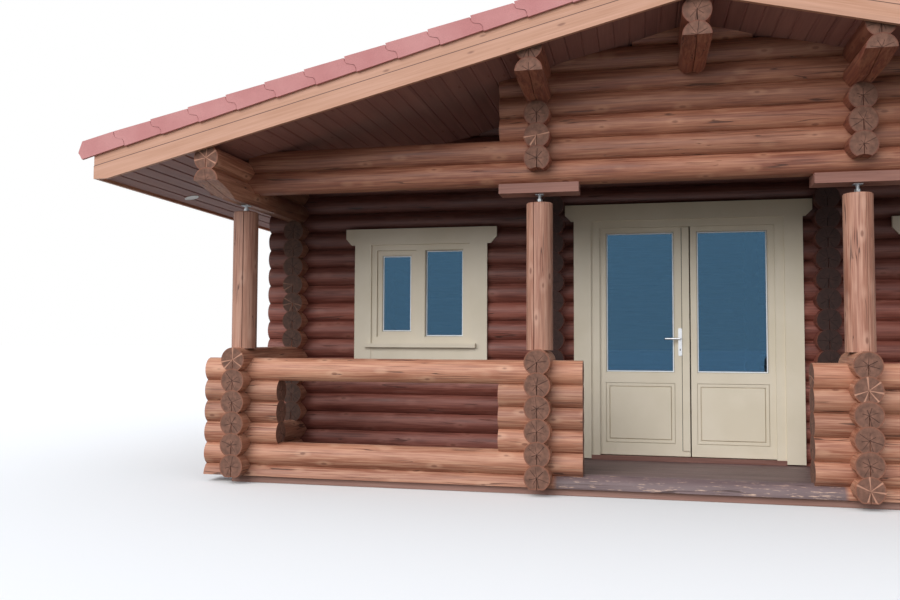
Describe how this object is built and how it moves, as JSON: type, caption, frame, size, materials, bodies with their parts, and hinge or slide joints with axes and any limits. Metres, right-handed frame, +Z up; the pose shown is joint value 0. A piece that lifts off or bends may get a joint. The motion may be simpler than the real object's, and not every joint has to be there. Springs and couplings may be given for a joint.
{
  "type": "log cabin",
  "caption": "Gable-front cabin of stacked round logs, with a full-width veranda on log posts under a low tiled roof, and a glazed double door between two windows.",
  "frame": {"origin": "ground level under the middle of the building's footprint", "axes": "+X right along the front, +Y from the veranda into the house, +Z up; the ridge stands over X = 0"},
  "size_m": [8.966, 7.3566, 3.7101],
  "materials": {
    "log": "stained round logs with end grain",
    "post": "stained round posts with drying cracks",
    "board": "stained planed boards",
    "deck": "weathered deck boards",
    "floor": "planed pine boards",
    "skirting": "rough boards",
    "painted": "satin paint on timber",
    "glass": "sealed double glazing",
    "steel": "hot-dip galvanised",
    "handle": "satin",
    "tile": "granulated steel tile sheets",
    "verge": "folded steel covers"
  },
  "bodies": {
    "cabin": {"back_bargeboards": "board", "back_cross_logs": "log", "back_gable": "log", "back_verge": "verge", "back_wall": "log", "beam_saddles": "board", "corner_cross_logs": "log", "deck_boards": "deck", "deck_edge_log": "deck", "door_frame": "painted", "door_hinges": "steel", "door_sill": "board", "door_trim": "painted", "eave_fascias": "board", "floor_boards": "floor", "front_bargeboards": "board", "front_cross_logs": "log", "front_gable": "log", "front_verge": "verge", "front_wall": "log", "front_window_frames": "painted", "front_window_glass": "glass", "front_window_trim": "painted", "joists": "skirting", "left_balustrade": "log", "left_corner_post": "post", "left_mid_post": "post", "left_plate": "log", "left_purlin": "log", "left_roof_deck": "board", "left_roof_tiles": "tile", "left_stack": "log", "left_wall": "log", "other_window_frames": "painted", "other_window_glass": "glass", "other_window_trim": "painted", "porch_gable": "log", "porch_gable_cross_logs": "log", "post_jacks": "steel", "ridge_cap": "verge", "ridge_purlin": "log", "right_balustrade": "log", "right_corner_post": "post", "right_mid_post": "post", "right_plate": "log", "right_purlin": "log", "right_roof_deck": "board", "right_roof_tiles": "tile", "right_stack": "log", "right_wall": "log", "skirting": "skirting"},
    "left_door": {"left_door_leaf": "painted", "left_door_glass": "glass", "handle_plates": "handle", "left_hinge_plates": "steel"},
    "right_door": {"right_door_leaf": "painted", "right_door_glass": "glass", "right_hinge_plates": "steel"},
    "door_handle": {"door_lever": "handle"}
  },
  "joints": [
    {"name": "left_door_hinge", "type": "hinge", "parent": "cabin", "child": "left_door", "pos_m": [-0.718, -1.802, 1.1], "axis": [0, 0, 1], "range_deg": [0, 100]},
    {"name": "right_door_hinge", "type": "hinge", "parent": "cabin", "child": "right_door", "pos_m": [0.718, -1.802, 1.1], "axis": [0, 0, -1], "range_deg": [0, 100]},
    {"name": "lever_turn", "type": "hinge", "parent": "left_door", "child": "door_handle", "pos_m": [-0.046, -1.84, 1.142], "axis": [0, -1, 0], "range_deg": [0, 40], "stiffness_Nm_per_rad": 2, "springref_deg": -20.05}
  ]
}
